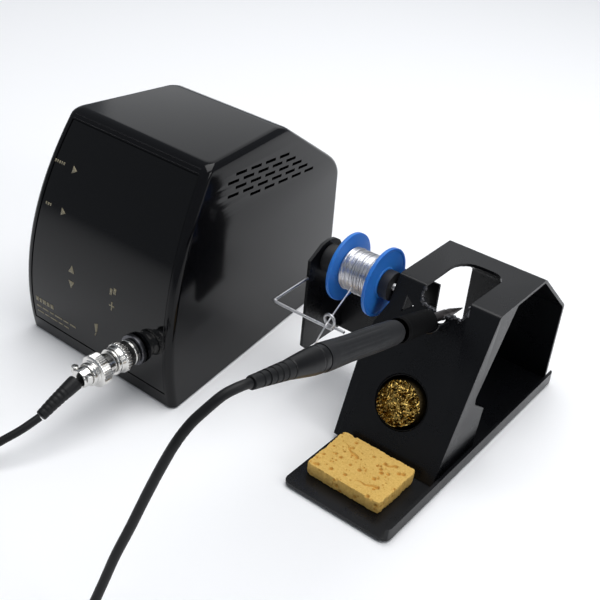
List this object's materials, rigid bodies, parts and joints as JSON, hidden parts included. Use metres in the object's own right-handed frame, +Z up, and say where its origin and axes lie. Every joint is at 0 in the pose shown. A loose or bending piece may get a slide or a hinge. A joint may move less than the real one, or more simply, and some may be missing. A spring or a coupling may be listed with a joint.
{
  "type": "soldering iron station",
  "caption": "Mains soldering station with a bow-fronted control unit, a plug-in iron on its lead, and a folded steel stand with sponge, brass wool and solder reel.",
  "frame": {"origin": "On the surface it stands on, under the middle of the box round the control unit and the stand with the iron in it, the lead and its plug left out.", "axes": "+X to the right across the pair, from the control unit to the stand. +Y to the back, away from the front panel. +Z up."},
  "size_m": [0.2921, 0.4211, 0.15],
  "materials": {
    "gloss_black": "high gloss moulded case",
    "satin_black_paint": "satin black powder coat on sheet steel",
    "matt_black_plastic": "matt moulded plastic",
    "black_rubber": "matt rubber",
    "nickel": "bright nickel plate",
    "steel": "bright steel",
    "blue_plastic": "satin moulded plastic",
    "solder": "bright tin alloy wire",
    "brass_wool": "curled brass shavings",
    "sponge": "dry cellulose sponge",
    "circuit_board": "green solder mask",
    "core_laminations": "varnished steel laminations",
    "winding_tape": "yellow winding tape"
  },
  "bodies": {
    "station": {"back_panel": "satin_black_paint", "base_plate": "satin_black_paint", "base_screw_1": "steel", "base_screw_2": "steel", "base_screw_3": "steel", "base_screw_4": "steel", "bracket_screw": "steel", "control_board": "circuit_board", "display_module": "matt_black_plastic", "filter_capacitor": "matt_black_plastic", "foot_1": "black_rubber", "foot_2": "black_rubber", "foot_3": "black_rubber", "foot_4": "black_rubber", "front_panel": "gloss_black", "front_socket": "nickel", "guide_wire": "steel", "holder_cradle": "satin_black_paint", "hub_inner": "matt_black_plastic", "hub_outer": "matt_black_plastic", "iron_holder": "matt_black_plastic", "lead_coil": "black_rubber", "lead_iron_side": "black_rubber", "lead_plug_side": "black_rubber", "mains_inlet": "matt_black_plastic", "plug_body": "nickel", "plug_boot": "black_rubber", "plug_clamp": "nickel", "reel_axle": "steel", "reel_bracket": "satin_black_paint", "rocker_frame": "matt_black_plastic", "socket_nut": "steel", "solder_strand": "solder", "stand_base": "satin_black_paint", "stand_frame": "satin_black_paint", "stand_pad_1": "black_rubber", "stand_pad_2": "black_rubber", "stand_pad_3": "black_rubber", "stand_pad_4": "black_rubber", "touch_board": "circuit_board", "transformer_bolt_1": "steel", "transformer_bolt_2": "steel", "transformer_core": "core_laminations", "transformer_winding": "winding_tape", "upper_shell": "gloss_black", "wool_cup": "satin_black_paint"},
    "iron": {"iron_tip": "steel", "iron_barrel": "steel", "barrel_nut": "nickel", "iron_handle": "matt_black_plastic", "iron_grip": "black_rubber", "iron_boot": "black_rubber"},
    "reel": {"solder_reel": "blue_plastic", "solder_winding": "solder"},
    "plug_ring": {"plug_locking_ring": "nickel"},
    "rocker_key": {"rocker": "matt_black_plastic"},
    "cleaning_sponge": {"sponge": "sponge"},
    "cleaning_wool": {"brass_wool": "brass_wool"},
    "fuse_carrier": {"fuse_cap": "matt_black_plastic"}
  },
  "joints": [
    {"name": "iron_lift", "type": "slide", "parent": "station", "child": "iron", "axis": [0.0186, -0.9664, 0.2565], "range_m": [0, 0.09], "deforming": ["lead_iron_side"]},
    {"name": "reel_spin", "type": "hinge", "parent": "station", "child": "reel", "pos_m": [0.07372, 0.03578, 0.0875], "axis": [0.9998, 0.0192, 0], "continuous": true},
    {"name": "plug_ring_turn", "type": "hinge", "parent": "station", "child": "plug_ring", "pos_m": [-0.04265, -0.0622, 0.034], "axis": [0, -1, 0], "range_deg": [0, 360]},
    {"name": "rocker_tilt", "type": "hinge", "parent": "station", "child": "rocker_key", "pos_m": [-0.09215, 0.13185, 0.066], "axis": [1, 0, 0], "range_deg": [-16, 0]},
    {"name": "sponge_lift", "type": "slide", "parent": "station", "child": "cleaning_sponge", "axis": [0, 0, 1], "range_m": [0, 0.015]},
    {"name": "wool_lift", "type": "slide", "parent": "station", "child": "cleaning_wool", "axis": [0.0172, -0.8945, 0.4468], "range_m": [0, 0.04]},
    {"name": "fuse_pull", "type": "slide", "parent": "station", "child": "fuse_carrier", "axis": [0, 1, 0], "range_m": [0, 0.02]}
  ]
}
